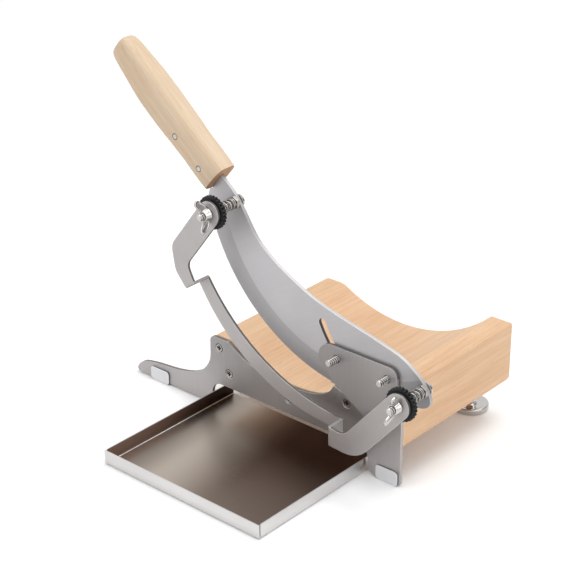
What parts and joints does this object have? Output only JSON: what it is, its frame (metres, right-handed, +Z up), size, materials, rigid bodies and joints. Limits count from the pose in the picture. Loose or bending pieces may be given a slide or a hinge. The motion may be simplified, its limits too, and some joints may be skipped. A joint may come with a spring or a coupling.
{
  "type": "frozen meat slicer",
  "caption": "Hand lever slicer for frozen meat: wooden feed block on a bent steel stand, curved blade that turns and draws, sprung thickness gauge and a loose slice tray.",
  "frame": {"origin": "centre of the bounding box's underside, on the table", "axes": "+X to the right seen from the front, towards the blade's pivot; -Y to the front, towards the tray; +Z up"},
  "size_m": [0.3298, 0.2792, 0.3081],
  "materials": {
    "block_wood": "sanded pale beech, clear matt lacquer",
    "handle_wood": "sanded pale wood, satin",
    "brushed_steel": "fine brushed stainless steel",
    "blade_steel": "fine ground stainless steel",
    "tray_steel": "smooth cold rolled stainless steel",
    "bright_steel": "polished stainless steel",
    "pale_rubber": "light grey soft rubber",
    "black_plastic": "black moulded plastic, slightly glossy"
  },
  "bodies": {
    "base": {"wood_base_block": "block_wood", "stand_plate": "brushed_steel", "plate_screw_1": "bright_steel", "plate_screw_2": "bright_steel", "plate_screw_3": "bright_steel", "plate_screw_4": "bright_steel", "foot_cap_left": "pale_rubber", "foot_cap_right": "pale_rubber", "rear_foot_left": "bright_steel", "rear_foot_right": "bright_steel", "pivot_bolt": "bright_steel", "guide_bolt": "bright_steel"},
    "slide_block": {"pivot_slider": "bright_steel"},
    "blade": {"blade": "blade_steel", "handle": "handle_wood", "handle_rivet_1": "bright_steel", "handle_rivet_2": "bright_steel", "gauge_stud_upper": "bright_steel", "gauge_stud_lower": "bright_steel", "stud_nut_upper": "bright_steel", "stud_nut_lower": "bright_steel", "gauge_spring_upper": "bright_steel", "gauge_spring_lower": "bright_steel"},
    "gauge": {"gauge_frame": "brushed_steel"},
    "wheel_upper": {"knurled_wheel_upper": "black_plastic"},
    "wheel_lower": {"knurled_wheel_lower": "black_plastic"},
    "wing_nut_upper": {"wing_nut_upper": "bright_steel"},
    "wing_nut_lower": {"wing_nut_lower": "bright_steel"},
    "tray": {"slice_tray": "tray_steel"}
  },
  "joints": [
    {"name": "blade_swing", "type": "hinge", "parent": "base", "child": "slide_block", "pos_m": [0.11904, -0.0155, 0.0951], "axis": [0, -1, 0], "range_deg": [0, 30]},
    {"name": "blade_draw", "type": "slide", "parent": "slide_block", "child": "blade", "axis": [1, 0, 0], "range_m": [0, 0.0235]},
    {"name": "gauge_slide", "type": "slide", "parent": "blade", "child": "gauge", "axis": [0, 1, 0], "range_m": [0, 0.008], "deforming": ["gauge_spring_upper", "gauge_spring_lower"]},
    {"name": "wheel_upper_turn", "type": "hinge", "parent": "gauge", "child": "wheel_upper", "pos_m": [-0.03696, -0.0433, 0.1965], "axis": [0, 1, 0], "range_deg": [0, 2880]},
    {"name": "wheel_lower_turn", "type": "hinge", "parent": "gauge", "child": "wheel_lower", "pos_m": [0.15104, -0.0433, 0.0953], "axis": [0, 1, 0], "range_deg": [0, 2880]},
    {"name": "wing_nut_upper_turn", "type": "hinge", "parent": "gauge", "child": "wing_nut_upper", "pos_m": [-0.03696, -0.0517, 0.1965], "axis": [0, 1, 0], "continuous": true},
    {"name": "wing_nut_lower_turn", "type": "hinge", "parent": "gauge", "child": "wing_nut_lower", "pos_m": [0.15104, -0.0517, 0.0953], "axis": [0, 1, 0], "continuous": true},
    {"name": "tray_slide", "type": "slide", "parent": "base", "child": "tray", "axis": [0, -1, 0], "range_m": [0, 0.15]}
  ],
  "couplings": [
    {"joint": "blade_draw", "follows": "blade_swing", "m_per_rad": 0.04488},
    {"joint": "wheel_upper_turn", "follows": "gauge_slide", "rad_per_m": 6283},
    {"joint": "wheel_lower_turn", "follows": "gauge_slide", "rad_per_m": 6283}
  ]
}
